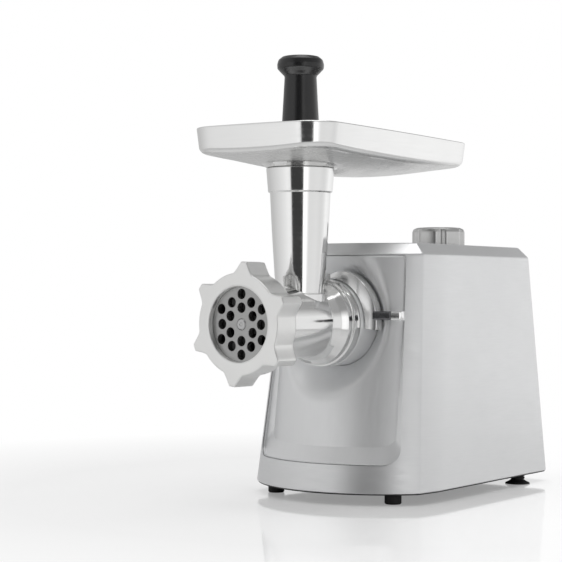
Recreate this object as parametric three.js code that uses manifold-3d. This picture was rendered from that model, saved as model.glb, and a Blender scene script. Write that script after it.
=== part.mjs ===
// Electric meat grinder. Millimetres, +Z up, the mouth of the grinding head faces -Y.
// The origin is on the table, under the middle of the whole grinder.
import * as THREE from "three";
import { mergeVertices } from "three/addons/utils/BufferGeometryUtils.js";
import Module from "manifold-3d";

const wasm = await Module();
wasm.setup();

// Driving dimensions
const MOUTH_Y = -171; // front plane of the ring nut
const AXIS_Z = 141.9; // height of the auger's axis
const TUBE_Y = -94.9; // feed tube's axis
const BASE_Z = 9.35; // lower edge of the housing
const EDGE_Z = 196.9; // lower edge of the bevel around the top
const TOP_Z = 205.9; // flat top of the housing
const BEVEL = 9; // width of that bevel
const WALL = 2.5; // housing wall
const REAR_SLOPE = 0.068; // lean of the rear wall, mm per mm of height
const PANEL_INSET = [9, 1.6]; // the front panel lies this far behind the housing's front, below and above
const PLATE_R = 31; // size 8 cutting plate, 62 mm
const PLATE_T = 5;
const HOLE_R = 3.9; // holes of the cutting plate
const NUT_OPENING_R = 28.5;
const NUT_R = 39;
const NUT_LUG_R = 47.5;
const NUT_DEPTH = 22.5;
const BARREL_R = 27.5;
const AUGER_R = 23.6;
const AUGER_CORE_R = 9.5;
const AUGER_PITCH = 28;
const SOCKET_R = 34.9; // outlet boss of the drive, round the head's spigot
const SPIGOT_R = 26.8;
const TRAY_WIDTH = 123;
const TRAY_LENGTH = 244.6;
const TRAY_BOW = 2.4; // the tray's sides bulge this far
const TRAY_FRONT = 67.2; // tray's front edge ahead of the feed tube
const TRAY_TURN = THREE.MathUtils.degToRad(5.4); // the tray stands a little skew on its tube
const TRAY_RIM_Z = 293.5;
const TRAY_LOW_Z = 262.7; // lowest point of the tray's bowl
const KNOB_Y = 102.5;
const KNOB_R = 23;
const GAP = 0.3; // between pieces that touch

// Gear train: centres in x and z, all axes along Y
const MOTOR = [0, 80];
const FIRST = [22, 97.9];
const SECOND = [-7.6, 104.3];
const OUTPUT = [0, AXIS_Z];

const material = (color, roughness, metalness) => new THREE.MeshStandardMaterial({ color, roughness, metalness });
const silver = material(0xc9cbcc, 0.42, 0.6);
const castAlloy = material(0xd2d2d0, 0.5, 0.8);
const polished = material(0xdadada, 0.12, 1);
const steel = material(0xa9abab, 0.35, 0.9);
const black = material(0x111112, 0.45, 0);
const darkPlastic = material(0x2b2c2e, 0.6, 0);
const rubber = material(0x161616, 0.8, 0);
const copper = material(0xb0622e, 0.4, 0.9);
const nylon = material(0xe6e2d6, 0.6, 0);
const greenBoard = material(0x1f5a38, 0.6, 0);
const bronze = material(0xa97c44, 0.4, 0.9);

const grinder = new THREE.Group();

const v2 = ([x, y]) => new THREE.Vector2(x, y);

// A closed geometry as a solid that can be joined and cut
function solid(geometry) {
  const bare = geometry.clone();
  bare.deleteAttribute("normal");
  bare.deleteAttribute("uv");
  const merged = mergeVertices(bare, 1e-4);
  return new wasm.Manifold(
    new wasm.Mesh({
      numProp: 3,
      vertProperties: merged.attributes.position.array,
      triVerts: new Uint32Array(merged.index.array),
    }),
  );
}

// A solid back as a geometry
function geometryOf(made) {
  const mesh = made.getMesh();
  const geometry = new THREE.BufferGeometry()
    .setAttribute("position", new THREE.BufferAttribute(new Float32Array(mesh.vertProperties), 3))
    .setIndex(new THREE.BufferAttribute(new Uint32Array(mesh.triVerts), 1));
  geometry.computeVertexNormals();
  return geometry;
}

// Adds one named piece, given as a geometry or a solid
function piece(name, shape, look) {
  const geometry = shape.isBufferGeometry ? shape : geometryOf(shape);
  const mesh = new THREE.Mesh(geometry, look);
  mesh.name = name;
  grinder.add(mesh);
  return mesh;
}

// Outlines
const circle = (r, count, cx = 0, cy = 0, start = 0) =>
  Array.from({ length: count }, (_, i) => {
    const a = start + (2 * Math.PI * i) / count;
    return [cx + r * Math.cos(a), cy + r * Math.sin(a)];
  });
const rectangle = (x0, y0, x1, y1) => [[x0, y0], [x1, y0], [x1, y1], [x0, y1]];
// A polygon whose corner i is rounded with radius radii[i] in steps of the same number
function rounded(corners, radii, steps = 3) {
  const out = [];
  corners.forEach((corner, i) => {
    const r = Array.isArray(radii) ? radii[i] : radii;
    if (!r) return out.push(corner);
    const p = v2(corner);
    const before = v2(corners.at(i - 1)).sub(p).normalize();
    const after = v2(corners[(i + 1) % corners.length]).sub(p).normalize();
    const half = Math.acos(THREE.MathUtils.clamp(before.dot(after), -1, 1)) / 2;
    const from = before.clone().multiplyScalar(r / Math.tan(half));
    const to = after.clone().multiplyScalar(r / Math.tan(half));
    const centre = before.clone().add(after).normalize().multiplyScalar(r / Math.sin(half));
    const a0 = from.clone().sub(centre).angle();
    let sweep = to.clone().sub(centre).angle() - a0;
    if (sweep > Math.PI) sweep -= 2 * Math.PI;
    if (sweep < -Math.PI) sweep += 2 * Math.PI;
    for (let k = 0; k <= steps; k++) {
      const a = a0 + (sweep * k) / steps;
      out.push([p.x + centre.x + r * Math.cos(a), p.y + centre.y + r * Math.sin(a)]);
    }
  });
  return out;
}
// A counter-clockwise outline moved inwards by d
function inset(outline, d) {
  return outline.map((corner, i) => {
    const p = v2(corner);
    const a = p.clone().sub(v2(outline.at(i - 1))).normalize();
    const b = v2(outline[(i + 1) % outline.length]).sub(p).normalize();
    const bisector = new THREE.Vector2(-a.y - b.y, a.x + b.x).normalize();
    return p.addScaledVector(bisector, d / Math.max(0.3, bisector.dot(new THREE.Vector2(-a.y, a.x)))).toArray();
  });
}

// Solids from outlines and profiles
function shapeOf(outline, holes = []) {
  const shape = new THREE.Shape(outline.map(v2));
  shape.holes = holes.map((hole) => new THREE.Path(hole.map(v2)));
  return shape;
}
// Outline in x and z, from y0 back to y1
const prism = (outline, holes, y0, y1) =>
  new THREE.ExtrudeGeometry(shapeOf(outline, holes), { depth: y1 - y0, bevelEnabled: false, curveSegments: 1 })
    .rotateX(Math.PI / 2)
    .translate(0, y1, 0);
// Outline in x and y, from z0 up to z1
const slab = (outline, holes, z0, z1) =>
  new THREE.ExtrudeGeometry(shapeOf(outline, holes), { depth: z1 - z0, bevelEnabled: false, curveSegments: 1 })
    .translate(0, 0, z0);
// Profile of [radius, y] turned about an axis along Y through x, z
const turnedY = (profile, segments, [x, z] = OUTPUT) =>
  new THREE.LatheGeometry(profile.map(v2), segments).translate(x, 0, z);
// Profile of [radius, z] turned about an upright axis through x, y
const turnedZ = (profile, segments, x = 0, y = 0) =>
  new THREE.LatheGeometry(profile.map(v2), segments).rotateX(Math.PI / 2).translate(x, y, 0);
const rodY = (r, y0, y1, segments, at) => turnedY([[0, y0], [r, y0], [r, y1], [0, y1]], segments, at);
const ringY = (inner, outer, y0, y1, segments, at) =>
  turnedY([[outer, y0], [outer, y1], [inner, y1], [inner, y0], [outer, y0]], segments, at);
const rodZ = (r, z0, z1, segments, x, y) => turnedZ([[0, z0], [r, z0], [r, z1], [0, z1]], segments, x, y);
const block = (x0, y0, z0, x1, y1, z1) =>
  new THREE.BoxGeometry(x1 - x0, y1 - y0, z1 - z0).translate((x0 + x1) / 2, (y0 + y1) / 2, (z0 + z1) / 2);
// Outlines of the same count, stacked upwards: levels of [z, outline]
function stacked(levels) {
  const count = levels[0][1].length;
  const positions = levels.flatMap(([z, outline]) => outline.flatMap(([x, y]) => [x, y, z]));
  const index = [];
  for (let k = 0; k + 1 < levels.length; k++)
    for (let i = 0; i < count; i++) {
      const j = (i + 1) % count;
      const [a, b, c, d] = [k * count + i, k * count + j, (k + 1) * count + j, (k + 1) * count + i];
      index.push(a, b, c, a, c, d);
    }
  const last = (levels.length - 1) * count;
  for (const [a, b, c] of THREE.ShapeUtils.triangulateShape(levels[0][1].map(v2), [])) index.push(c, b, a);
  for (const [a, b, c] of THREE.ShapeUtils.triangulateShape(levels.at(-1)[1].map(v2), []))
    index.push(last + a, last + b, last + c);
  return new THREE.BufferGeometry()
    .setAttribute("position", new THREE.Float32BufferAttribute(positions, 3))
    .setIndex(index);
}

// The housing's plan at height z, moved inwards by d: a bowed front, upright corner edges,
// sides that close in to the rear
const FRONT_STEPS = 14;
function plan(z, d = 0) {
  const t = (z - BASE_Z) / (EDGE_Z - BASE_Z);
  const at = (low, high) => THREE.MathUtils.lerp(low, high, t);
  const apex = at(-90.2, -58.3);
  const corner = [at(82.2, 70.1), at(-47.7, -26)];
  const side = [at(84.4, 71.4), at(-23, 0)];
  const rear = [at(72.5, 61.8), 170.6 - REAR_SLOPE * (z - BASE_Z)];
  const sagitta = corner[1] - apex;
  const radius = (corner[0] ** 2 + sagitta ** 2) / (2 * sagitta);
  const half = Math.asin(corner[0] / radius);
  const points = [];
  const radii = [];
  for (let i = 0; i <= FRONT_STEPS; i++) {
    const a = -half + (2 * half * i) / FRONT_STEPS;
    points.push([radius * Math.sin(a), apex + radius - radius * Math.cos(a)]);
    radii.push(i === 0 || i === FRONT_STEPS ? Math.max(4.5 - d, 1) : 0);
  }
  points.push(side, rear, [-rear[0], rear[1]], [-side[0], side[1]]);
  radii.push(0, Math.max(9 - d, 2), Math.max(9 - d, 2), 0);
  return rounded(inset(points, d), radii, 3);
}
const level = (z, d = 0) => [z, plan(z, d)];

// Housing: open below, with a front opening for the panel, a rear opening for the vent panel
const OPEN_Z0 = 31;
const OPEN_Z1 = 196.2;
const openHalf = (z) => THREE.MathUtils.lerp(69.5, 61, (z - 45) / 145);
const panelInset = (z) => THREE.MathUtils.mapLinear(z, OPEN_Z0, OPEN_Z1, ...PANEL_INSET);
const frontOpening = (margin) => {
  const z0 = OPEN_Z0 - margin;
  const z1 = OPEN_Z1 + margin;
  const [low, high] = [openHalf(z0) + margin, openHalf(z1) + margin];
  return rounded([[-low, z0], [low, z0], [high, z1], [-high, z1]], [9, 9, 3, 3].map((r) => r + margin), 4);
};
const REAR_OPEN = [46, 26, 40, 176]; // half-width and height below, then above
const rearOutline = (margin) =>
  rounded(
    [
      [-REAR_OPEN[0] + margin, REAR_OPEN[1] + margin],
      [REAR_OPEN[0] - margin, REAR_OPEN[1] + margin],
      [REAR_OPEN[2] - margin, REAR_OPEN[3] - margin],
      [-REAR_OPEN[2] + margin, REAR_OPEN[3] - margin],
    ],
    6,
    3,
  );
// Moves a plate built at y = 0 onto the sloping rear wall
const lean = (geometry, offset) => {
  const p = geometry.attributes.position;
  for (let i = 0; i < p.count; i++)
    p.setY(i, p.getY(i) + 170.6 - REAR_SLOPE * (p.getZ(i) - BASE_Z) + offset);
  return geometry;
};
{
  const outer = solid(
    stacked([level(BASE_Z), level(EDGE_Z), [TOP_Z - 2.5, plan(EDGE_Z, BEVEL * 0.55)], [TOP_Z, plan(EDGE_Z, BEVEL)]]),
  );
  const inner = solid(
    stacked([
      [BASE_Z - 1, plan(BASE_Z, WALL)],
      [EDGE_Z, plan(EDGE_Z, WALL)],
      [TOP_Z - WALL, plan(EDGE_Z, BEVEL + 0.5)],
    ]),
  );
  const front = solid(stacked([level(OPEN_Z0 - 4), level(OPEN_Z1 + 3)])).subtract(
    solid(stacked([OPEN_Z0 - 5, OPEN_Z1 + 4].map((z) => level(z, panelInset(z) + 3)))),
  );
  const frame = front.intersect(solid(prism(frontOpening(2.6), [], -110, -15))).intersect(outer);
  const shell = outer
    .subtract(inner)
    .add(frame)
    .subtract(solid(prism(frontOpening(0), [], -120, -14)))
    .subtract(solid(prism(rearOutline(0), [], 120, 180)))
    .subtract(solid(rodZ(5.2, TOP_Z - 10, TOP_Z + 5, 20, 0, KNOB_Y)));
  piece("housing_shell", shell, silver);
}

// Front panel: bowed like the housing, with a round dish about the drive outlet
const DISH_R = 40.7;
const dishY = (r) => -36.5 - 0.022 * (r - 36) ** 2.35; // the dish's surface at radius r
{
  const skin = (behind, ...heights) => solid(stacked(heights.map((z) => level(z, panelInset(z) + behind))));
  const outline = solid(prism(frontOpening(-GAP), [], -110, -12));
  const plate = skin(0, OPEN_Z0 - 1, OPEN_Z1 + 1)
    .subtract(skin(2.5, OPEN_Z0 - 2, OPEN_Z1 + 2))
    .intersect(outline);
  const bowl = (wall) => {
    const profile = [67, 61.5, 56.5, 51.5, 46, DISH_R].map((r) => [r + wall, dishY(r) + wall]);
    return solid(turnedY([[0, profile[0][1]], ...profile, [0, profile.at(-1)[1]]], 32));
  };
  const dish = bowl(2.2).intersect(skin(0, 40, OPEN_Z1 - GAP));
  const panel = plate
    .add(dish)
    .subtract(bowl(0))
    .subtract(solid(rodY(DISH_R - 0.4, -80, -20, 32)));
  piece("front_panel", panel.intersect(outline), silver);
}

// Base plate with a narrow visible edge, feet and screws
const SCREWS = [[-46, -22], [46, -22], [-46, 118], [46, 118]];
const FRONT_FEET = [[-59, -51], [59, -51]];
const REAR_FEET = [[-63.5, 131.5], [63.5, 131.5]];
{
  const lower = solid(stacked([[8.2, plan(BASE_Z, 1)], [9.05, plan(BASE_Z, 1)]]));
  const upper = solid(stacked([[8.6, plan(BASE_Z, WALL + 1)], [12, plan(BASE_Z, WALL + 1)]]));
  let plate = lower.add(upper);
  for (const [x, y] of SCREWS) plate = plate.subtract(solid(rodZ(2.4, 0, 20, 8, x, y)));
  for (let i = 0; i < 6; i++)
    plate = plate.subtract(solid(slab(rectangle(-24, 24 + 12 * i, 24, 29 + 12 * i), [], 0, 20)));
  piece("base_plate", plate, darkPlastic);
  SCREWS.forEach(([x, y], i) =>
    piece("base_screw_" + (i + 1), turnedZ([[0, 6.4], [4, 6.4], [4, 7.9], [2, 7.9], [2, 17], [0, 17]], 8, x, y), steel),
  );
  FRONT_FEET.forEach(([x, y], i) =>
    piece("foot_front_" + ["left", "right"][i], turnedZ([[0, 0], [5.8, 0], [6.7, 1], [6.7, 7.9], [0, 7.9]], 16, x, y), rubber),
  );
  REAR_FEET.forEach(([x, y], i) =>
    piece(
      "foot_rear_" + ["left", "right"][i],
      turnedZ([[0, 0], [10.8, 0], [10.8, 0.8], [6.25, 5], [6.25, 7.9], [0, 7.9]], 18, x, y),
      rubber,
    ),
  );
}

// Rear panel with cooling slots, and the cord gland
const GLAND = [28, 44];
{
  const slots = Array.from({ length: 9 }, (_, i) =>
    rounded(rectangle(-30, 82 + 9 * i, 30, 86 + 9 * i), 1.2, 1).reverse(),
  );
  const hole = circle(7.3, 14, ...GLAND).reverse();
  piece("rear_panel", lean(prism(rearOutline(GAP), [...slots, hole], -2.5, 0), -0.4), darkPlastic);
  piece(
    "cord_gland",
    turnedY([[3.6, 158], [6.9, 158], [6.9, 169.1], [8.6, 169.1], [8, 171], [3.6, 171], [3.6, 158]], 14, GLAND),
    rubber,
  );
}

// Drive outlet: the boss that takes the head's spigot, bolted to the gearbox
{
  piece(
    "outlet_socket",
    turnedY(
      [[SOCKET_R, -61], [SOCKET_R, -35.8], [38, -35.8], [38, -29], [17, -29], [17, -33], [27.1, -33], [27.1, -61], [SOCKET_R, -61]],
      32,
    ),
    polished,
  );
}

// Gearbox case with corner bosses, its cover and four screws
const CASE = [-38.5, 65, 52, 179];
const CASE_SCREWS = [[-33, 70.5], [46.5, 70.5], [46.5, 173.5], [-33, 173.5]];
{
  let body = solid(prism(rounded(rectangle(...CASE), 6, 3), [], -28.6, 18)).subtract(
    solid(prism(rounded(rectangle(CASE[0] + 3, CASE[1] + 3, CASE[2] - 3, CASE[3] - 3), 4, 3), [], -24.6, 19)),
  );
  for (const at of CASE_SCREWS) body = body.add(solid(rodY(5, -26, 18, 12, at)));
  body = body.add(solid(rodY(20, -26, -21.6, 20))).add(solid(rodY(7, -26, -22, 16, FIRST))).add(solid(rodY(7.4, -26, -22.4, 16, SECOND)));
  body = body.subtract(solid(rodY(16.4, -40, -20, 20))).subtract(solid(rodY(3.9, -24.5, 0, 16, FIRST)));
  body = body.subtract(solid(rodY(4.4, -25.5, 0, 16, SECOND)));
  for (const at of CASE_SCREWS) body = body.subtract(solid(rodY(2.4, 4, 20, 8, at)));
  piece("gearbox_case", body, castAlloy);
  const cover = prism(
    rounded(rectangle(...CASE), 6, 3),
    [
      ...CASE_SCREWS.map(([x, z]) => circle(2.4, 8, x, z).reverse()),
      circle(4.6, 12, ...MOTOR).reverse(),
      circle(3.9, 12, ...FIRST).reverse(),
      circle(4.4, 12, ...SECOND).reverse(),
      circle(8.4, 14, ...OUTPUT).reverse(),
    ],
    18.4,
    22.4,
  );
  piece("gearbox_cover", cover, castAlloy);
  CASE_SCREWS.forEach((at, i) =>
    piece("gearbox_screw_" + (i + 1), turnedY([[0, 6], [2, 6], [2, 22.8], [3.8, 22.8], [3.8, 25], [0, 25]], 10, at), steel),
  );
  piece("output_bearing", ringY(10.3, 16, -28, -21.8, 20), steel);
}

// Spur gear: straight-flanked teeth about a bore, one tooth centred on the angle phase
function gear(teeth, module, bore, y0, y1, at, phase) {
  const pitch = (teeth * module) / 2;
  const outline = [];
  for (let i = 0; i < teeth; i++) {
    const middle = phase + (2 * Math.PI * i) / teeth;
    for (const [r, half] of [
      [pitch - 1.2 * module, -0.86],
      [pitch + 0.8 * module, -0.28],
      [pitch + 0.8 * module, 0.28],
      [pitch - 1.2 * module, 0.86],
    ]) {
      const a = middle + (half * module) / pitch;
      outline.push([at[0] + r * Math.cos(a), at[1] + r * Math.sin(a)]);
    }
  }
  return prism(outline, [circle(bore / Math.cos(Math.PI / 12), 12, ...at).reverse()], y0, y1);
}
// A meshed pair: the driver points a tooth at the driven gear, which turns a gap to it
function pair(driver, driven) {
  const angle = Math.atan2(driven.at[1] - driver.at[1], driven.at[0] - driver.at[0]);
  piece(driver.name, gear(driver.teeth, driver.module, driver.bore, ...driver.span, driver.at, angle), driver.look);
  piece(
    driven.name,
    gear(driven.teeth, driver.module, driven.bore, ...driven.span, driven.at, angle + Math.PI + Math.PI / driven.teeth),
    driven.look,
  );
}
pair(
  { name: "motor_pinion", teeth: 9, module: 0.9, bore: 2.8, span: [7.5, 14.5], at: MOTOR, look: steel },
  { name: "first_gear", teeth: 54, bore: 3.8, span: [8, 14], at: FIRST, look: steel },
);
pair(
  { name: "first_pinion", teeth: 11, module: 1.1, bore: 3.8, span: [-4.5, 4.5], at: FIRST, look: steel },
  { name: "second_gear", teeth: 44, bore: 4.3, span: [-4, 4], at: SECOND, look: steel },
);
pair(
  { name: "second_pinion", teeth: 12, module: 1.6, bore: 4.3, span: [-19.5, -6.5], at: SECOND, look: steel },
  { name: "output_gear", teeth: 36, bore: 10.3, span: [-19, -7], at: OUTPUT, look: nylon },
);
piece("first_shaft", rodY(3.5, -24, 21.8, 12, FIRST), steel);
piece("second_shaft", rodY(4, -25, 21.8, 12, SECOND), steel);

// Output shaft with a hexagonal socket in its front end
{
  const across = 6.9 / Math.cos(Math.PI / 6);
  const hex = circle(across, 6, ...OUTPUT, Math.PI / 6);
  const shaft = solid(turnedY([[0, -46], [11.5, -46], [11.5, -32.4], [10, -32.4], [10, 17], [8, 17], [8, 22], [0, 22]], 20));
  piece("output_shaft", shaft.subtract(solid(prism(hex, [], -47, -32))), steel);
}

// Universal motor
const STATOR = [46, 84];
{
  const [mx, mz] = MOTOR;
  const bracketOutline = rounded(rectangle(mx - 47, 12.3, mx + 47, mz + 41), [2, 2, 8, 8], 3);
  const openings = [[-30, -26], [30, -26], [30, 26], [-30, 26]].map(([x, z]) => circle(8, 8, mx + x, mz + z).reverse());
  const bracket = (y0, y1) => prism(bracketOutline, [circle(8.4, 14, mx, mz).reverse(), ...openings], y0, y1);
  piece("motor_front_bracket", bracket(26, 29), steel);
  piece("motor_rear_bracket", bracket(109, 112), steel);
  piece("motor_bearing_front", ringY(3.3, 8, 25, 30, 14, MOTOR), steel);
  piece("motor_bearing_rear", ringY(3.3, 8, 108, 113, 14, MOTOR), steel);
  const section = rounded(rectangle(mx - 45, mz - 37, mx + 45, mz + 37), 7, 3);
  let core = solid(prism(section, [], ...STATOR)).subtract(solid(rodY(21.4, 40, 90, 24, MOTOR)));
  for (const side of [1, -1])
    core = core.subtract(solid(block(mx - 31.5, 40, mz + side * 13.4 - 4.4, mx + 31.5, 90, mz + side * 13.4 + 4.4)));
  piece("stator_core", core, steel);
  for (const [name, side] of [["top", 1], ["bottom", -1]]) {
    const loop = slab(
      rounded(rectangle(mx - 30.5, 37, mx + 30.5, 93), 5, 3),
      [rounded(rectangle(mx - 20.8, 44.5, mx + 20.8, 85.5), 2, 2).reverse()],
      mz + side * 13.4 - 3.2,
      mz + side * 13.4 + 3.2,
    );
    piece("field_winding_" + name, loop, copper);
  }
  const slots = 12;
  const rotor = [];
  for (let i = 0; i < slots; i++)
    for (const [r, a] of [[20.2, -0.19], [20.2, 0.19], [13, 0.1], [13, 0.42]])
      rotor.push([mx + r * Math.cos(a + (2 * Math.PI * i) / slots), mz + r * Math.sin(a + (2 * Math.PI * i) / slots)]);
  piece("rotor_core", prism(rotor, [circle(3.3, 16, mx, mz).reverse()], ...STATOR), steel);
  piece("commutator", ringY(3.3, 9.8, 95, 106, 16, MOTOR), copper);
  piece("motor_shaft", turnedY([[0, 6], [2.5, 6], [2.5, 15], [3, 15], [3, 118], [0, 118]], 12, MOTOR), steel);
  const blades = [];
  for (let i = 0; i < 9; i++)
    for (const [r, a] of [[9, 0], [25, 0.1], [25, 0.24], [9, 0.3]])
      blades.push([mx + r * Math.cos(a + (2 * Math.PI * i) / 9), mz + r * Math.sin(a + (2 * Math.PI * i) / 9)]);
  const fan = solid(prism(blades, [], 31, 35.2)).add(solid(rodY(26, 33.8, 36, 20, MOTOR)));
  piece("cooling_fan", fan.subtract(solid(rodY(3.3, 20, 40, 16, MOTOR))), darkPlastic);
  for (const [name, side] of [["left", -1], ["right", 1]]) {
    const [x0, x1] = [side * 10.2, side * 33].sort((a, b) => a - b);
    piece("brush_holder_" + name, block(x0, 96, mz - 4.5, x1, 104, mz + 4.5), bronze);
  }
}

// Knob on the top, its spindle and the switch under it
{
  const knob = solid(
    turnedZ([[0, 206.5], [KNOB_R, 206.5], [KNOB_R, 219.4], [19, 223.2], [0, 223.2]], 36, 0, KNOB_Y),
  );
  let fluted = knob.subtract(solid(rodZ(4.3, 200, 216, 16, 0, KNOB_Y)));
  for (let i = 0; i < 6; i++) {
    const a = THREE.MathUtils.degToRad(-51 + 60 * i);
    fluted = fluted.subtract(solid(rodZ(7.5, 200, 230, 14, 29 * Math.cos(a), KNOB_Y + 29 * Math.sin(a))));
  }
  piece("control_knob", fluted, steel);
  piece("knob_spindle", rodZ(4, 184, 215.5, 16, 0, KNOB_Y), steel);
  const housing = solid(block(-19, KNOB_Y - 19, 179, 19, KNOB_Y + 19, TOP_Z - WALL - GAP));
  piece("selector_switch", housing.subtract(solid(rodZ(4.4, 183.5, 220, 16, 0, KNOB_Y))), darkPlastic);
  piece("circuit_board", block(-34, 134, 12.4, 34, 136, 66), greenBoard);
}

// Locking lever: a crescent that turns about the outlet boss, with an arm at its side
{
  const arc = (r, from, to, count) =>
    Array.from({ length: count + 1 }, (_, i) => {
      const a = THREE.MathUtils.degToRad(from + ((to - from) * i) / count);
      return [r * Math.cos(a), AXIS_Z + r * Math.sin(a)];
    });
  const crescentOutline = [...arc(44.8, -6, 62, 9), ...arc(42.4, 74, 75, 1), ...arc(37.4, 87, 88, 1), ...arc(35.4, 90, -6, 13)];
  const crescent = solid(prism(crescentOutline, [], -57, -45.6));
  const collar = solid(ringY(35.6, 39.4, -46, -37, 28));
  const arm = solid(block(38, -56.4, AXIS_Z + 2.8, 59.7, -49.6, AXIS_Z + 9.5));
  piece("lock_ring", crescent.add(collar).add(arm), polished);
  piece("lock_handle", block(60, -56.9, AXIS_Z + 2.3, 69.3, -49.1, AXIS_Z + 10), polished);
}

// Grinding head: barrel and feed tube in one casting
{
  const barrel = solid(
    turnedY(
      [
        [0, -163], [34.5, -163], [34.5, -150.4], [BARREL_R, -147], [BARREL_R, -87], [30, -80.6], [34, -75.8], [34, -70.8],
        [35.1, -70], [35.1, -62.6], [SPIGOT_R, -62.6], [SPIGOT_R, -36.5], [0, -36.5],
      ],
      36,
    ),
  );
  const tube = solid(
    turnedZ(
      [
        [0, 142], [18, 142], [18.4, 165], [20.1, 179], [22.4, 215], [23.9, 244.4], [25.4, 245.4], [26.9, 261.4], [25.9, 262.3],
        [0, 262.3],
      ],
      28,
      0,
      TUBE_Y,
    ),
  );
  const key = solid(block(-6, -71.4, 165, 6, -62.8, 181.4));
  const bore = solid(
    turnedY(
      [
        [0, -170], [PLATE_R + 0.4, -170], [PLATE_R + 0.4, -161], [28.8, -161], [28.8, -152.6], [24.4, -150.6], [24.4, -50],
        [20, -50], [20, -30], [0, -30],
      ],
      32,
    ),
  );
  const throat = solid(turnedZ([[0, 142], [15.6, 142], [16.4, 180], [22, 246], [22, 280], [0, 280]], 28, 0, TUBE_Y));
  piece("head_casting", barrel.add(tube).add(key).subtract(bore).subtract(throat), polished);
  piece("auger_bush", ringY(8.3, 24.1, -62, -50.4, 24), bronze);
}

// Auger: a single helical flight on a tapered core, with a journal behind and a pin in front
{
  const steps = 34;
  const span = [-152.4, -66];
  const section = [];
  for (const a of [-36, -24, 0, 24, 36]) {
    const r = Math.abs(a) > 30 ? AUGER_CORE_R : AUGER_R;
    section.push([r, THREE.MathUtils.degToRad(a)]);
  }
  for (let a = 66; a <= 294; a += 38) section.push([AUGER_CORE_R, THREE.MathUtils.degToRad(a)]);
  const flight = new THREE.ExtrudeGeometry(shapeOf(section.map(([r, a]) => [r * Math.cos(a), r * Math.sin(a)])), {
    depth: span[1] - span[0],
    steps,
    bevelEnabled: false,
    curveSegments: 1,
  });
  const p = flight.attributes.position;
  for (let i = 0; i < p.count; i++) {
    const a = (2 * Math.PI * p.getZ(i)) / AUGER_PITCH;
    const [x, y] = [p.getX(i), p.getY(i)];
    p.setXY(i, x * Math.cos(a) - y * Math.sin(a), x * Math.sin(a) + y * Math.cos(a));
  }
  flight.rotateX(Math.PI / 2).translate(0, span[1], AXIS_Z);
  const front = solid(turnedY([[0, -166.2], [3.2, -166.2], [4, -165.4], [4, -150], [0, -150]], 12));
  const seat = solid(block(-4.6, -161, AXIS_Z - 4.6, 4.6, -151, AXIS_Z + 4.6));
  const rear = solid(turnedY([[0, -68], [15, -68], [15, -62.6], [8, -62.6], [8, -50], [0, -50]], 16));
  piece("auger", solid(flight).add(front).add(seat).add(rear), castAlloy);
  const hex = circle(6.4 / Math.cos(Math.PI / 6), 6, ...OUTPUT, Math.PI / 6);
  piece("drive_shank", prism(hex, [], -49.6, -33), nylon);
}

// Four-bladed knife on the auger's square
{
  const outline = [];
  for (let i = 0; i < 4; i++)
    for (const [r, a] of [[27, -0.13], [27, 0.17], [13, 0.3], [10.5, 0.785]])
      outline.push([r * Math.cos(a + (Math.PI * i) / 2), AXIS_Z + r * Math.sin(a + (Math.PI * i) / 2)]);
  const square = rectangle(-4.9, AXIS_Z - 4.9, 4.9, AXIS_Z + 4.9).reverse();
  piece("knife", prism(outline, [square], -161, -156.6), steel);
}

// Cutting plate: holes in three rings about the auger's pin
const PLATE_Y = MOUTH_Y + 4.6;
{
  const holes = [circle(4.4, 16, ...OUTPUT).reverse()];
  for (const [r, start] of [[12.6, 30], [19.1, 0], [23, 30]])
    for (let i = 0; i < 6; i++) {
      const a = THREE.MathUtils.degToRad(start + 60 * i);
      holes.push(circle(HOLE_R, 8, r * Math.cos(a), AXIS_Z + r * Math.sin(a)).reverse());
    }
  piece("cutting_plate", prism(circle(PLATE_R, 40, ...OUTPUT), holes, PLATE_Y, PLATE_Y + PLATE_T), steel);
}

// Ring nut with six lugs
{
  const outline = [];
  for (let i = 0; i < 6; i++) {
    const middle = 23 + 60 * i;
    for (const [r, a] of [
      [NUT_R, -20], [NUT_R + 1.6, -13], [NUT_LUG_R - 1.6, -7.4], [NUT_LUG_R, -5.4],
      [NUT_LUG_R, 5.4], [NUT_LUG_R - 1.6, 7.4], [NUT_R + 1.6, 13], [NUT_R, 20],
    ]) {
      const angle = THREE.MathUtils.degToRad(middle + a);
      outline.push([r * Math.cos(angle), AXIS_Z + r * Math.sin(angle)]);
    }
    const between = THREE.MathUtils.degToRad(middle + 30);
    outline.push([NUT_R * Math.cos(between), AXIS_Z + NUT_R * Math.sin(between)]);
  }
  const bore = solid(
    turnedY(
      [
        [0, MOUTH_Y - 2], [NUT_OPENING_R, MOUTH_Y - 2], [NUT_OPENING_R, PLATE_Y - GAP], [35, PLATE_Y - GAP], [35, -140],
        [0, -140],
      ],
      36,
    ),
  );
  piece("ring_nut", solid(prism(outline, [], MOUTH_Y, MOUTH_Y + NUT_DEPTH)).subtract(bore), castAlloy);
}

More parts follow.
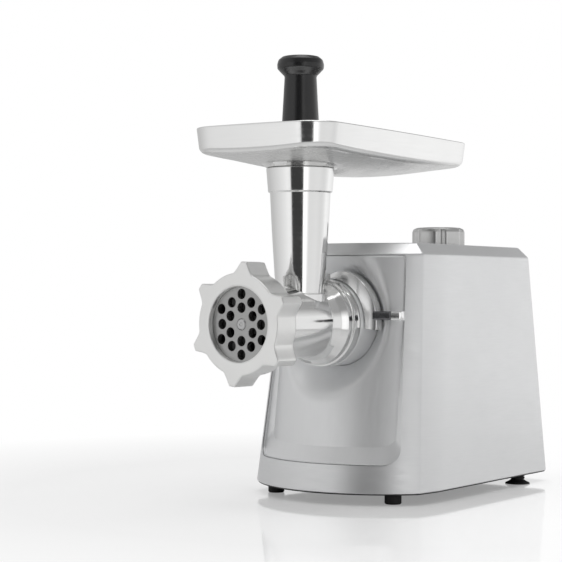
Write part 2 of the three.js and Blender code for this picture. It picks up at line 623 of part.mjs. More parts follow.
// Hopper tray: a shallow rounded bowl with a spout that plugs into the feed tube
{
  const [hw, back] = [TRAY_WIDTH / 2, TRAY_LENGTH - TRAY_FRONT];
  const middle = (back - TRAY_FRONT) / 2;
  const bowl = (d, r) => {
    const [x, y0, y1] = [hw - d, -TRAY_FRONT + d, back - d];
    const corners = [
      [-x, y0], [0, y0 - TRAY_BOW], [x, y0], [x + TRAY_BOW, middle],
      [x, y1], [0, y1 + TRAY_BOW], [-x, y1], [-x - TRAY_BOW, middle],
    ];
    return rounded(corners, [r, 0, r, 0, r, 0, r, 0], 5).map(([u, v]) => [
      u * Math.cos(TRAY_TURN) - v * Math.sin(TRAY_TURN),
      TUBE_Y + u * Math.sin(TRAY_TURN) + v * Math.cos(TRAY_TURN),
    ]);
  };
  const T = 1.8;
  const outside = solid(
    stacked([
      [TRAY_LOW_Z, bowl(42, 10)], [265.6, bowl(24, 16)], [270, bowl(9, 18)], [275, bowl(3.4, 19)],
      [TRAY_RIM_Z, bowl(0, 20)],
    ]),
  );
  const inside = solid(
    stacked([
      [TRAY_LOW_Z + T, bowl(42, 10)], [265.6 + T, bowl(25, 15)], [270 + T, bowl(10.6, 17)], [276.4, bowl(5.2, 18)],
      [TRAY_RIM_Z + 1, bowl(1.7, 19)],
    ]),
  );
  const spout = solid(rodZ(21.5, 247, TRAY_LOW_Z + 1.4, 28, 0, TUBE_Y)).subtract(solid(rodZ(19.6, 240, 300, 28, 0, TUBE_Y)));
  const tray = outside.subtract(inside).subtract(solid(rodZ(19.6, 240, 300, 28, 0, TUBE_Y))).add(spout);
  piece("tray", tray, polished);
}

// Pusher: a tapered plunger with a rounded collar on top
piece(
  "pusher",
  turnedZ(
    [
      [0, 167], [13, 167], [14.6, 170], [14.6, 300], [12.6, 337], [15.8, 340], [18.5, 345.5], [17.2, 349.2], [13.4, 352.3],
      [0, 352.6],
    ],
    20,
    0,
    TUBE_Y,
  ),
  black,
);

export default grinder;
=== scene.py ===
"""Electric meat grinder, in metres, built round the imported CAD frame."""
import bpy
import math
from mathutils import Matrix, Vector


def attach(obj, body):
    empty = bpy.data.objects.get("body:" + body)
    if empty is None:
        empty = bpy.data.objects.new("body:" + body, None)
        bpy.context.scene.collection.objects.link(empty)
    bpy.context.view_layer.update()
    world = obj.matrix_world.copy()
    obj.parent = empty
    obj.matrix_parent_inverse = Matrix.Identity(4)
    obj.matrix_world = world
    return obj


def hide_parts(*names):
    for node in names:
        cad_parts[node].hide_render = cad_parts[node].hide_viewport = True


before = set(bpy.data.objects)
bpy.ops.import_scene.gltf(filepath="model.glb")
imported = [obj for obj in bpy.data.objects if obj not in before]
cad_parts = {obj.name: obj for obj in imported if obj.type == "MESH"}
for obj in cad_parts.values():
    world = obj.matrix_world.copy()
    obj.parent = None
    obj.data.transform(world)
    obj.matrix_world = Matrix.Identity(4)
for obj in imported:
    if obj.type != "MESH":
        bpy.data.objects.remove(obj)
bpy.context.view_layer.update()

# Lengths below are millimetres unless a comment says otherwise.
MM = 0.001
TAU = 2 * math.pi

AXIS_Z = 141.9      # height of the auger's axis
TUBE_Y = -94.9      # feed tube's axis
MOUTH_Y = -171.0    # front plane of the ring nut
AXIS = (0.0, AXIS_Z)
TUBE = (0.0, TUBE_Y)

# Housing. A pair is a value at the base and one at the bevel.
BASE_Z, EDGE_Z, TOP_Z = 9.35, 196.9, 205.9
BEVEL = 9.0
WALL = 2.5
FRONT_Y = (-90.2, -58.3)      # foremost line of the bowed front
CORNER_X = (82.2, 70.1)       # where the bowed front meets the corner strip
CORNER_Y = (-47.7, -26.0)
STRIP_X = (84.4, 71.4)        # where the corner strip meets the side
STRIP_Y = (-23.0, 0.0)
REAR_X = (72.5, 61.8)
REAR_Y, REAR_SLOPE = 170.6, 0.068
REAR_CORNER = 9.0             # radius of the rear corners
FRONT_STEPS = 44              # chords along the bowed front
SIDE_STATIONS = (0.0, 0.06, 0.3, 0.6, 1.0)

# Front opening and the panel in it.
OPEN_Z0, OPEN_Z1 = 31.0, 196.0
PANEL_INSET = (9.0, 1.6)      # behind the housing's front, below and above
PANEL_SPAN = (69.5, 61.0)     # half width at the heights below
PANEL_SPAN_Z = (45, 190)
BOSS_R = 34.9
DISH_R = BOSS_R + 0.5

# Tray, in its own directions: across, along from the feed tube, and up.
TRAY_TURN = math.radians(5.4)
TRAY_HALF, TRAY_BACK, TRAY_FRONT = 61.5, 177.4, -67.2
TRAY_MID, TRAY_LONG = (TRAY_BACK + TRAY_FRONT) / 2, (TRAY_BACK - TRAY_FRONT) / 2
TRAY_RIM = 293.5
TRAY_BOW = 2.5                # bulge of each side
TRAY_DRAFT = 1.7              # how far the walls lean out
TRAY_THICK = 1.6
TRAY_BEND = 5.6               # radius from underside to wall
SPOUT_R = 21.5

KNOB_Y = 102.5
KNOB_R = 23.0
KNOB_TOP = 223.2


# ---------------------------------------------------------------- camera
def make_camera(location, azimuth, pitch, roll, lens):
    """A camera that looks along +Y at azimuth 0 and along -X at azimuth 90, angles in degrees."""
    a, p, r = (math.radians(v) for v in (azimuth, pitch, roll))
    forward = Vector((-math.sin(a) * math.cos(p), math.cos(a) * math.cos(p), math.sin(p)))
    level = Vector((math.cos(a), math.sin(a), 0))
    upward = level.cross(forward)
    right = level * math.cos(r) + upward * math.sin(r)
    up = upward * math.cos(r) - level * math.sin(r)
    data = bpy.data.cameras.new("camera")
    data.lens, data.sensor_width = lens, 36.0
    data.clip_start, data.clip_end = 0.02, 60.0
    camera = bpy.data.objects.new("camera", data)
    bpy.context.scene.collection.objects.link(camera)
    camera.matrix_world = Matrix.Translation(location) @ Matrix((right, up, -forward)).transposed().to_4x4()
    bpy.context.scene.camera = camera


make_camera((0.7954, -1.1063, 0.1677), 38.852, 0.326, 0.153, 104.53)
bpy.context.scene.view_settings.view_transform = "Standard"


# ---------------------------------------------------------------- node materials
class Nodes:
    """A small writer of node trees."""

    def __init__(self, tree):
        self.tree = tree
        tree.nodes.clear()

    def add(self, kind, links=None, **settings):
        """A shader node with its sockets linked or set, by name or number."""
        node = self.tree.nodes.new("ShaderNode" + kind)
        for key, value in settings.items():
            setattr(node, key, value)
        for key, value in (links or {}).items():
            socket = node.inputs[key]
            if isinstance(value, bpy.types.NodeSocket):
                self.tree.links.new(value, socket)
            else:
                socket.default_value = value
        return node

    def math(self, operation, *values):
        return self.add("Math", dict(enumerate(values)), operation=operation).outputs[0]

    def ramp(self, factor, stops):
        """A colour ramp of (position, grey or colour) stops."""
        node = self.add("ValToRGB", {"Fac": factor})
        elements = node.color_ramp.elements
        while len(elements) > 1:
            elements.remove(elements[-1])
        for i, (position, colour) in enumerate(stops):
            element = elements[0] if i == 0 else elements.new(position)
            element.position = position
            grey = colour if isinstance(colour, tuple) else (colour,) * 3
            element.color = (*grey, 1)
        return node.outputs[0]

    def blend(self, factor, first, second):
        """A colour from first to second; each is a socket or an (r, g, b)."""
        sides = [(*side, 1) if isinstance(side, (tuple, list)) else side for side in (first, second)]
        links = {"Factor": factor, "A": sides[0], "B": sides[1]}
        return self.add("Mix", links, data_type="RGBA").outputs["Result"]

    def noise(self, vector, scale, detail=2.0, roughness=0.5):
        links = {"Vector": vector, "Scale": scale, "Detail": detail, "Roughness": roughness}
        return self.add("TexNoise", links).outputs["Fac"]

    def stretch(self, vector, scale):
        return self.add("Mapping", {"Vector": vector, "Scale": scale}).outputs[0]

    def place(self):
        return self.add("TexCoord").outputs["Object"]

    def range(self, value, low, high, to_low, to_high):
        links = {"Value": value, "From Min": low, "From Max": high, "To Min": to_low, "To Max": to_high}
        return self.add("MapRange", links).outputs["Result"]


GRAIN_DEPTH = 0.00004      # metres
PIT_SCALE = 700.0          # cast pits per metre


def shade(colour, factor):
    return tuple(c * factor for c in colour)


def surface(name, colour, roughness, metallic=0.0, grain=(900.0, 0.02), tint=0.04, streak=None,
            rough_spread=0.06, spots=0.0, coat=0.0, coat_roughness=0.1):
    """A material with fine grain, slow changes of tone and roughness, and optional brushed streaks or pits.

    grain is (scale per metre, strength); streak is the (x, y, z) stretch of brush marks.
    """
    material = bpy.data.materials.new(name)
    material.use_nodes = True
    n = Nodes(material.node_tree)
    at = n.place()
    slow = n.noise(at, 14.0, 3.0)
    height = n.noise(at, grain[0], 3.0, 0.6)
    bright = tuple(min(1.0, c) for c in shade(colour, 1 + tint))
    tone = n.ramp(slow, [(0.25, shade(colour, 1 - tint)), (0.75, bright)])
    half_spread = rough_spread / 2
    shine = n.range(n.noise(at, 45.0, 4.0), 0.3, 0.7, roughness - half_spread, roughness + half_spread)
    if streak:
        marks = n.noise(n.stretch(at, streak), 60.0, 4.0, 0.65)
        height = n.math("ADD", n.math("MULTIPLY", marks, 1.4), height)
        shine = n.math("ADD", shine, n.range(marks, 0.3, 0.7, -0.05, 0.05))
        tone = n.blend(n.range(marks, 0.35, 0.65, 0.0, 0.5), tone, shade(colour, 1 - tint * 1.4))
    if spots:
        pits = n.add("TexVoronoi", {"Vector": at, "Scale": PIT_SCALE}).outputs["Distance"]
        tone = n.blend(n.range(pits, 0.08, 0.3, 1.0 - spots, 1.0), shade(colour, 0.7), tone)
    bump = n.add("Bump", {"Height": height, "Strength": grain[1] * 10, "Distance": GRAIN_DEPTH})
    shader = n.add("BsdfPrincipled", {"Base Color": tone, "Metallic": metallic, "Roughness": shine,
                                      "Normal": bump.outputs[0], "Coat Weight": coat,
                                      "Coat Roughness": coat_roughness})
    n.add("OutputMaterial", {"Surface": shader.outputs[0]})
    return material


BRUSHED = {"grain": (1500.0, 0.05), "tint": 0.012, "rough_spread": 0.03}
SILVER = surface("silver_housing", (0.82, 0.825, 0.83), 0.40, 0.88, streak=(1.0, 1.0, 14.0), **BRUSHED)
# Painted light: the front panel wears a lighter, less metallic copy of the housing's silver paint, to brighten
# a panel that lies in shade.
FRONT = surface("silver_front_painted_light", (0.88, 0.885, 0.89), 0.46, 0.80, streak=(14.0, 1.0, 1.0), **BRUSHED)
# Painted light: the outlet boss gets a lighter, less metallic copy of the silver, to brighten its side where
# it lies in shade by the dish.
BOSS = surface("silver_outlet_painted_light", (0.90, 0.905, 0.91), 0.45, 0.70, streak=(14.0, 1.0, 1.0), **BRUSHED)
CAST = surface("cast_alloy", (0.90, 0.90, 0.89), 0.33, 0.86, grain=(1100.0, 0.12), tint=0.03, spots=0.06,
               rough_spread=0.08)
# Dark cast alloy, the gearbox's own colour; on the barrel's bore and mouth it is painted shade.
CAST_DARK_AND_BORE_SHADE = surface("dark_cast_alloy_and_painted_bore_shade", (0.30, 0.30, 0.295), 0.55, 0.9, grain=(700.0, 0.14), tint=0.06,
                     spots=0.2, rough_spread=0.1)
POLISHED = surface("polished_alloy", (0.90, 0.90, 0.895), 0.11, 1.0, grain=(900.0, 0.010), tint=0.015,
                   streak=(0.6, 0.6, 9.0), rough_spread=0.05)
TRAY = surface("polished_tray", (0.90, 0.90, 0.895), 0.15, 1.0, grain=(1200.0, 0.02), tint=0.02,
               streak=(0.5, 0.5, 14.0))
# Painted shade: the tray's underside is a darker copy of its metal, for the shade under the tray; its rougher
# satin finish is real.
TRAY_UNDER_SHADE = surface("satin_tray_underside_painted_shade", (0.74, 0.74, 0.735), 0.26, 1.0, grain=(1200.0, 0.02), tint=0.02,
                     streak=(0.5, 14.0, 0.5))
# Painted shade: the lever arm is chrome like the grip, coloured dark so that its reflection paints a dark
# patch of shade into the flange.
ARM_CHROME_PAINTED_SHADE = surface("chrome_painted_shade", (0.20, 0.20, 0.21), 0.22, 1.0, grain=(600.0, 0.01), tint=0.05)
CHROME = surface("chrome", (0.88, 0.88, 0.88), 0.17, 1.0, grain=(500.0, 0.004), tint=0.01, rough_spread=0.03)
PLATE = surface("ground_steel", (0.44, 0.44, 0.435), 0.36, 0.95, grain=(1300.0, 0.05), tint=0.05,
                streak=(1.0, 1.0, 12.0), rough_spread=0.1)
STEEL = surface("plain_steel", (0.55, 0.55, 0.55), 0.3, 0.95, grain=(900.0, 0.05), tint=0.06,
                rough_spread=0.1)
# Painted shade: the auger and knife, seen only through the plate's holes, are coloured near black for the
# shade behind the plate.
STEEL_PAINTED_SHADE = surface("steel_painted_shade", (0.06, 0.06, 0.058), 0.5, 0.9, grain=(700.0, 0.1), tint=0.15,
                     rough_spread=0.1)
KNOB = surface("spun_knob", (0.66, 0.66, 0.655), 0.33, 0.95, grain=(1500.0, 0.012), tint=0.03,
               streak=(1.0, 1.0, 20.0), rough_spread=0.05)
BLACK = surface("black_plunger", (0.012, 0.012, 0.013), 0.30, grain=(800.0, 0.03), tint=0.3,
                rough_spread=0.08, coat=0.15, coat_roughness=0.2)
DARK = surface("dark_plastic", (0.035, 0.035, 0.038), 0.5, grain=(1400.0, 0.18), tint=0.12, rough_spread=0.08)
BASE = surface("base_plastic", (0.030, 0.030, 0.032), 0.55, grain=(1100.0, 0.16), tint=0.12)
RUBBER = surface("foot_rubber", (0.016, 0.016, 0.016), 0.62, grain=(1000.0, 0.14), tint=0.2,
                 rough_spread=0.12)
BRONZE = surface("bronze", (0.66, 0.46, 0.22), 0.34, 0.95, grain=(800.0, 0.06), tint=0.08,
                 streak=(1.0, 12.0, 1.0))
COPPER = surface("enamelled_wire", (0.62, 0.24, 0.10), 0.34, 0.7, grain=(500.0, 0.06), tint=0.12,
                 streak=(1.0, 1.0, 26.0), coat=0.4)
LAMINATED = surface("laminations", (0.26, 0.26, 0.27), 0.5, 0.8, grain=(700.0, 0.1), tint=0.1,
                    streak=(0.4, 40.0, 0.4))
NYLON = surface("moulded_nylon", (0.84, 0.81, 0.73), 0.48, grain=(900.0, 0.08), tint=0.04)
BOARD = surface("board", (0.05, 0.20, 0.10), 0.4, grain=(500.0, 0.1), tint=0.25, coat=0.3)


# ---------------------------------------------------------------- outlines
def mix(a, b, t):
    return a + (b - a) * t


def circle(r, count):
    return [(r * math.cos(TAU * i / count), r * math.sin(TAU * i / count)) for i in range(count)]


def fillet(corners, radii, steps=5, closed=True):
    """A polygon with its corners rounded."""
    out, count = [], len(corners)
    nearly_flat = math.radians(89)
    for i, corner in enumerate(corners):
        r = radii[i] if isinstance(radii, (list, tuple)) else radii
        if not r or (not closed and i in (0, count - 1)):
            out.append(tuple(corner))
            continue
        p = Vector(corner)
        before = Vector(corners[i - 1]) - p
        after = Vector(corners[(i + 1) % count]) - p
        room = min(before.length, after.length) * 0.49
        before.normalize()
        after.normalize()
        half = math.acos(max(-1, min(1, before.dot(after)))) / 2
        if half > nearly_flat:
            out.append(tuple(corner))
            continue
        reach = min(r / math.tan(half), room)
        r = reach * math.tan(half)
        middle = p + (before + after).normalized() * (r / math.sin(half))
        start, end = p + before * reach - middle, p + after * reach - middle
        first = math.atan2(start.y, start.x)
        sweep = (math.atan2(end.y, end.x) - first + math.pi) % TAU - math.pi
        for k in range(steps + 1):
            a = first + sweep * k / steps
            out.append((middle.x + r * math.cos(a), middle.y + r * math.sin(a)))
    return out


def offset(outline, d):
    """A counter-clockwise outline moved inwards by d."""
    out, count, sharpest = [], len(outline), 0.35
    for i in range(count):
        p = Vector(outline[i])
        a, b = p - Vector(outline[i - 1]), Vector(outline[(i + 1) % count]) - p
        a.normalize()
        b.normalize()
        n = Vector((-a.y - b.y, a.x + b.x)).normalized()
        out.append(tuple(p + n * (d / max(sharpest, n.dot(Vector((-a.y, a.x)))))))
    return out


def dense(outline, step):
    """The outline with extra points so that none are further apart than step."""
    out = []
    for i, p in enumerate(outline):
        q = outline[(i + 1) % len(outline)]
        count = max(1, math.ceil(math.dist(p, q) / step))
        out += [(mix(p[0], q[0], k / count), mix(p[1], q[1], k / count)) for k in range(count)]
    return out


def distance_to(outline, x, z):
    """Distance from a point to the nearest side of an outline."""
    best = math.inf
    for i, (ax, az) in enumerate(outline):
        bx, bz = outline[(i + 1) % len(outline)]
        dx, dz = bx - ax, bz - az
        t = max(0.0, min(1.0, ((x - ax) * dx + (z - az) * dz) / (dx * dx + dz * dz)))
        best = min(best, math.hypot(x - ax - t * dx, z - az - t * dz))
    return best


# ---------------------------------------------------------------- meshes
def in_metres(points):
    return [(x * MM, y * MM, z * MM) for x, y, z in points]


def finish_mesh(name, verts, faces, material, body, replaces=(), slot=None, sharp=38.0, flip=False):
    """Makes one piece from points in millimetres; edges over sharp degrees stay crisp."""
    mesh = bpy.data.meshes.new(name)
    mesh.from_pydata(in_metres(verts), [], faces)
    if flip:
        mesh.flip_normals()
    mesh.validate()
    mesh.shade_smooth()
    mesh.set_sharp_from_angle(angle=math.radians(sharp))
    mesh.materials.append(material)
    piece = bpy.data.objects.new(name, mesh)
    bpy.context.scene.collection.objects.link(piece)
    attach(piece, body)
    if replaces:
        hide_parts(*replaces)
    return piece


def grid(rows, close_rows=False, capped=False):
    """Points and faces of a net of closed rows, each with the same number of points."""
    count, verts, faces = len(rows[0]), [p for row in rows for p in row], []
    last = len(rows) if close_rows else len(rows) - 1
    for k in range(last):
        a, b = k * count, ((k + 1) % len(rows)) * count
        for i in range(count):
            j = (i + 1) % count
            faces.append((a + i, a + j, b + j, b + i))
    if capped:
        faces.append(tuple(reversed(range(count))))
        faces.append(tuple((len(rows) - 1) * count + i for i in range(count)))
    return verts, faces


def turned(name, profile, axis, centre, material, body, segments=96, closed=False, **rest):
    """A turned piece. profile is (radius, height) upwards along Z, or backwards along Y, outside first.
    An open profile starts and ends on the axis; a closed one is a ring's section."""
    starts_on_axis, ends_on_axis = (not closed and profile[k][0] < 1e-6 for k in (0, -1))
    wall = profile[starts_on_axis:len(profile) - ends_on_axis]

    def at(r, h, a):
        if axis == "Z":
            return (centre[0] + r * math.cos(a), centre[1] + r * math.sin(a), h)
        return (centre[0] + r * math.cos(a), h, centre[1] + r * math.sin(a))

    rows = [[at(r, h, TAU * i / segments) for i in range(segments)] for r, h in wall]
    verts, faces = grid(rows, close_rows=closed)
    if starts_on_axis:
        tip = len(verts)
        verts.append(at(0, profile[0][1], 0))
        faces += [(tip, (i + 1) % segments, i) for i in range(segments)]
    if ends_on_axis:
        tip, base = len(verts), (len(rows) - 1) * segments
        verts.append(at(0, profile[-1][1], 0))
        faces += [(tip, base + i, base + (i + 1) % segments) for i in range(segments)]
    return finish_mesh(name, verts, faces, material, body, flip=(axis == "Y"), **rest)


def cutter(rows, flip=False):
    """A closed tool for boolean(), from rows of points in millimetres."""
    verts, faces = grid(rows, capped=True)
    mesh = bpy.data.meshes.new("cutter")
    mesh.from_pydata(in_metres(verts), [], faces)
    if flip:
        mesh.flip_normals()
    tool = bpy.data.objects.new("cutter", mesh)
    bpy.context.scene.collection.objects.link(tool)
    return tool


def prism_cutter(outline, y0, y1):
    """A cutter with an outline in x and z, from y0 to y1."""
    return cutter([[(x, y, z) for x, z in outline] for y in (y0, y1)], flip=True)


def shaft_cutter(centre, r, count, z0, z1):
    """An upright round cutter from z0 to z1."""
    outline = [(x + centre[0], y + centre[1]) for x, y in circle(r, count)]
    return cutter([[(x, y, z) for x, y in outline] for z in (z0, z1)])


def boolean(piece, cutters, sharp):
    """Cuts a piece with closed meshes and marks its edges over sharp degrees."""
    for tool in cutters:
        modifier = piece.modifiers.new("cut", "BOOLEAN")
        modifier.operation, modifier.solver, modifier.object = "DIFFERENCE", "EXACT", tool
        bpy.context.view_layer.update()
        evaluated = piece.evaluated_get(bpy.context.evaluated_depsgraph_get())
        mesh = bpy.data.meshes.new_from_object(evaluated)
        piece.modifiers.clear()
        piece.data = mesh
    for tool in cutters:
        bpy.data.objects.remove(tool)
    piece.data.set_sharp_from_angle(angle=math.radians(sharp))


# ---------------------------------------------------------------- housing
def front_arc(z):
    """Foremost y, half width and radius of the bowed front at height z."""
    t = (z - BASE_Z) / (EDGE_Z - BASE_Z)
    apex, half_width = mix(*FRONT_Y, t), mix(*CORNER_X, t)
    sagitta = mix(*CORNER_Y, t) - apex
    return apex, half_width, (half_width * half_width + sagitta * sagitta) / (2 * sagitta)


def plan(z, d=0.0, corner_radius=4.5):
    """The housing's plan at height z, moved inwards by d, counter-clockwise from the front left corner."""
    t = (z - BASE_Z) / (EDGE_Z - BASE_Z)
    apex, half_width, radius = front_arc(z)
    half = math.asin(half_width / radius)
    points, radii = [], []
    for i in range(FRONT_STEPS + 1):
        a = -half + 2 * half * i / FRONT_STEPS
        points.append((radius * math.sin(a), apex + radius - radius * math.cos(a)))
        radii.append(max(corner_radius - d, 0.8) if i in (0, FRONT_STEPS) else 0)
    start = (mix(*STRIP_X, t), mix(*STRIP_Y, t))
    end = (mix(*REAR_X, t), REAR_Y - REAR_SLOPE * (z - BASE_Z))
    for side, stations in ((1, SIDE_STATIONS), (-1, SIDE_STATIONS[::-1])):
        for u in stations:
            points.append((side * mix(start[0], end[0], u), mix(start[1], end[1], u)))
            radii.append(max(REAR_CORNER - d, 1.5) if u == 1.0 else 0)
    return fillet(offset(points, d), radii, 6)


def bow(x, z, d=0.0):
    """y of the bowed front at x and height z, d behind its surface."""
    apex, _, radius = front_arc(z)
    inner = radius - d
    return apex + radius - math.sqrt(max(inner * inner - x * x, 1.0))


def opening(margin):
    """Outline in x and z of the front opening."""
    def half_width(z):
        return mix(*PANEL_SPAN, (z - PANEL_SPAN_Z[0]) / (PANEL_SPAN_Z[1] - PANEL_SPAN_Z[0]))

    z0, z1 = OPEN_Z0 - margin, OPEN_Z1 + margin
    low, high = half_width(z0) + margin, half_width(z1) + margin
    corners = [(-low, z0), (low, z0), (high, z1), (-high, z1)]
    return fillet(corners, [r + margin for r in (11, 11, 3, 3)], 8)


def make_housing():
    """The cover, open below, with the front and rear openings and the spindle hole cut in it."""
    storeys, base_ease, sharp = 24, 0.5, 28

    def ring(plan_z, d, z):
        return [(x, y, z) for x, y in plan(plan_z, d)]

    heights = [BASE_Z + base_ease] + [mix(BASE_Z, EDGE_Z, k / storeys) for k in range(1, storeys)]
    outer = [ring(BASE_Z, base_ease, BASE_Z)] + [ring(z, 0.0, z) for z in heights]
    flat = BEVEL + 6
    edge = fillet([(0, EDGE_Z - 4), (0, EDGE_Z), (BEVEL, TOP_Z), (flat, TOP_Z)], 3.0, 5, closed=False)
    outer += [ring(min(z, EDGE_Z), d, z) for d, z in edge]
    ceiling = TOP_Z - WALL
    inner = [ring(EDGE_Z, flat, ceiling), ring(EDGE_Z, BEVEL + 0.5, ceiling),
             ring(EDGE_Z, WALL, EDGE_Z), ring(BASE_Z, WALL, BASE_Z)]

    count, rows = len(outer[0]), outer + inner
    verts, faces = grid(rows)
    top, under, last = (len(outer) - 1) * count, len(outer) * count, (len(rows) - 1) * count
    faces = [f for f in faces if not (top <= f[0] < under <= f[2])]
    faces.append(tuple(top + i for i in range(count)))
    faces.append(tuple(under + i for i in reversed(range(count))))
    for i in range(count):
        j = (i + 1) % count
        faces.append((last + i, last + j, j, i))
    shell = finish_mesh("housing", verts, faces, SILVER, "chassis", ["housing_shell"], "silver_body", sharp)
    rear = fillet([(-46, 26), (46, 26), (40, 176), (-40, 176)], 6, 6)
    boolean(shell, [prism_cutter(opening(0.0), -120, -14), prism_cutter(rear, 120, 180),
                    shaft_cutter((0, KNOB_Y), 5.2, 32, TOP_Z - 12, TOP_Z + 5)], sharp)


def dish_y(x, z):
    """The dish's surface, which rises forward about the drive's axis, steepest below it."""
    r, below = math.hypot(x, z - AXIS_Z), max(0.0, AXIS_Z - z)
    slope = 0.78 + 0.30 * (below / r) ** 2
    return -37.5 - 0.14 * below - slope * max(0.0, r - 36)


def panel_y(x, z, rim):
    """The panel's surface: the bowed front set back with a cove at the rim, blended into the dish."""
    height = (z - OPEN_Z0) / (OPEN_Z1 - OPEN_Z0)
    cove = mix(8.0, 1.8, min(1.0, max(0.0, height * 5)) ** 0.7)
    away = min(distance_to(rim, x, z), cove)
    inset = mix(*PANEL_INSET, height)
    inset *= 0.12 + 0.88 * math.sqrt(max(0.0, 1 - (1 - away / cove) ** 2))
    front, dish = bow(x, z, inset), dish_y(x, z)
    soft = 5.0 + 10.0 * max(0.0, z - AXIS_Z) / math.hypot(x, z - AXIS_Z)
    gap = max(soft - abs(front - dish), 0.0) / soft
    return max(front, dish) + gap * gap * soft / 4


def make_front_panel():
    """A bowed skin that coves up to its rim below, with a dish about the drive outlet."""
    rim = opening(-0.35)
    margins = (0, 0.2, 0.5, 0.9, 1.4, 2.1, 3.0, 4.1, 5.4, 7.0, 9.0)     # rings close to the rim
    rings = 40                                                          # and from there to the dish's hole

    def towards_axis(x, z, k):
        px, pz = x * k, AXIS_Z + (z - AXIS_Z) * k
        return (px, panel_y(px, pz, rim), pz)

    edge = [(x, z, math.hypot(x, z - AXIS_Z)) for x, z in dense(rim, 2.6)]
    rows = [[towards_axis(x, z, (reach - s) / reach) for x, z, reach in edge] for s in margins]
    for k in range(1, rings + 1):
        rows.append([towards_axis(x, z, mix(reach - margins[-1], DISH_R, k / rings) / reach)
                     for x, z, reach in edge])
    lip_in = [(x, y + 2.0, z) for x, y, z in rows[-1]]
    lip_out = [(x, y + 2.4, z) for x, y, z in rows[0]]
    finish_mesh("front_panel_skin", *grid([lip_out] + rows + [lip_in], close_rows=True), FRONT, "chassis",
                ["front_panel"], "silver_panel", sharp=50)


# ---------------------------------------------------------------- base and feet
def make_base():
    """The dark edge under the housing."""
    levels = [(1.8, 8.2), (1.0, 8.5), (1.0, 9.05), (3.6, 9.05), (3.6, 12.0)]
    rows = [[(x, y, z) for x, y in plan(BASE_Z, d, corner_radius=5.5)] for d, z in levels]
    finish_mesh("base_edge", *grid(rows, capped=True), BASE, "chassis", ["base_plate"], "black_base")


def make_feet():
    """Short pads in front and flared cups behind."""
    pad = fillet([(0, 0), (5.9, 0), (6.7, 0.8), (6.7, 6.9), (6.1, 7.9), (0, 7.9)], 0.6, 3, closed=False)
    cup = fillet([(0, 0.9), (7.0, 0.5), (10.0, 0), (10.8, 0.1), (10.6, 0.9), (8.0, 2.1), (6.2, 3.3),
                  (5.5, 3.6), (5.5, 4.2), (6.25, 4.6), (6.25, 5.8), (5.6, 6.1), (5.6, 6.6), (6.25, 7.0),
                  (6.25, 7.9), (0, 7.9)], 0.35, 2, closed=False)
    for row, kind, profile, x, y in (("front", "pad", pad, 59, -51), ("rear", "cup", cup, 63.5, 131.5)):
        for side, sign in (("left", -1), ("right", 1)):
            turned(f"foot_{kind}_{row}_{side}", profile, "Z", (sign * x, y), RUBBER, "chassis", 48,
                   replaces=[f"foot_{row}_{side}"], slot="rubber")


# ---------------------------------------------------------------- drive outlet and locking lever
def make_outlet():
    profile = fillet([(27.1, -61), (BOSS_R, -61), (BOSS_R, -35.8), (38, -35.8), (38, -29), (17, -29),
                      (17, -33), (27.1, -33)], [0.4, 0.8, 0.3, 0.3, 0, 0, 0, 0], 3)
    turned("outlet_boss", profile, "Y", AXIS, BOSS, "chassis", 112, closed=True, replaces=["outlet_socket"],
           slot="polished_aluminium")


def make_crescent():
    """A crescent about the boss, broad above and rounded off at its upper end."""
    start, end, steps = -7.0, 91.0, 84      # degrees about the axis
    narrows = 58                            # where it begins to close
    broad, inner, front, back = 9.3, DISH_R, -57.6, -45.6
    rows = []
    for i in range(steps + 1):
        degrees = mix(start, end, i / steps)
        closing = max(0.0, (degrees - narrows) / (end - narrows))
        thick = broad * math.sqrt(max(0.012, 1 - closing ** 2.2)) * (1 - 0.12 * closing)
        outer, slope = inner + thick, 3.4 * thick / broad
        section = fillet([(inner, front), (outer, front + slope), (outer, back), (inner, back)],
                         [0.5, 0.9, 0.8, 0.3], 5)
        t = math.radians(degrees)
        rows.append([(r * math.cos(t), y, AXIS_Z + r * math.sin(t)) for r, y in section])
    finish_mesh("lever_crescent", *grid(rows, capped=True), CHROME, "lock_lever", ["lock_ring"],
                "chrome_lever", sharp=40)


def bar(name, x0, x1, y0, y1, z0, z1, radius, material, body, **rest):
    """A bar along X with rounded long edges and eased ends; z is above the auger's axis."""
    ease = 0.7
    z0, z1 = AXIS_Z + z0, AXIS_Z + z1
    rows = []
    for x, d in ((x0, ease), (x0 + ease, 0), (mix(x0, x1, 0.5), 0), (x1 - ease, 0), (x1, ease)):
        corners = [(y0 + d, z0 + d), (y1 - d, z0 + d), (y1 - d, z1 - d), (y0 + d, z1 - d)]
        rows.append([(x, y, z) for y, z in fillet(corners, radius, 4)])
    finish_mesh(name, *grid(rows, capped=True), material, body, **rest)


def make_lever():
    make_crescent()
    bar("lever_arm", 42, 59.8, -56.4, -49.6, 2.8, 9.5, 1.1, ARM_CHROME_PAINTED_SHADE, "lock_lever", slot="chrome_lever")
    bar("lever_grip", 60, 69.3, -56.9, -49.1, 2.3, 10, 1.3, CHROME, "lock_lever", replaces=["lock_handle"],
        slot="chrome_lever")


# ---------------------------------------------------------------- grinding head
HEAD_LOOK = {"slot": "polished_aluminium", "sharp": 32}


